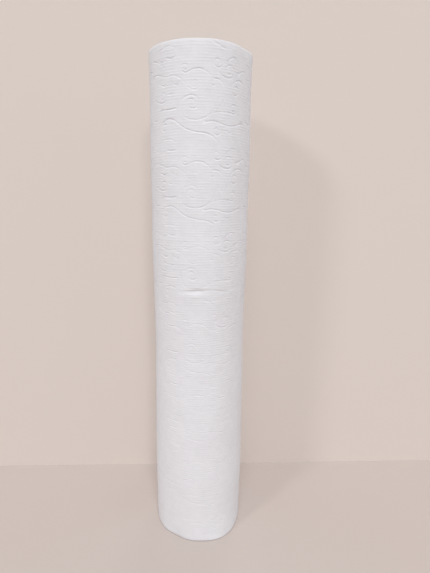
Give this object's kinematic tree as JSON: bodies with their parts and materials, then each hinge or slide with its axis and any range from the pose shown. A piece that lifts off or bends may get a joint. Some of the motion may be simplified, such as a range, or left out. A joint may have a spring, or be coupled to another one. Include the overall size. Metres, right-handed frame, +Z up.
{
  "type": "exam table paper roll",
  "caption": "Long roll of white embossed tissue wound on a cardboard core, pulled off a bar as a disposable cover for an examination couch.",
  "frame": {"origin": "middle of the lower end, on the roll's axis", "axes": "+Z up along the roll's axis, -Y towards the front, where the pinch crease is"},
  "size_m": [0.114, 0.1138, 0.6],
  "materials": {
    "tissue_paper": "matte, embossed with scrolls",
    "core_card": "plain spiral-wound board"
  },
  "bodies": {
    "root": {"paper_roll": "tissue_paper", "core_tube": "core_card"}
  },
  "joints": []
}
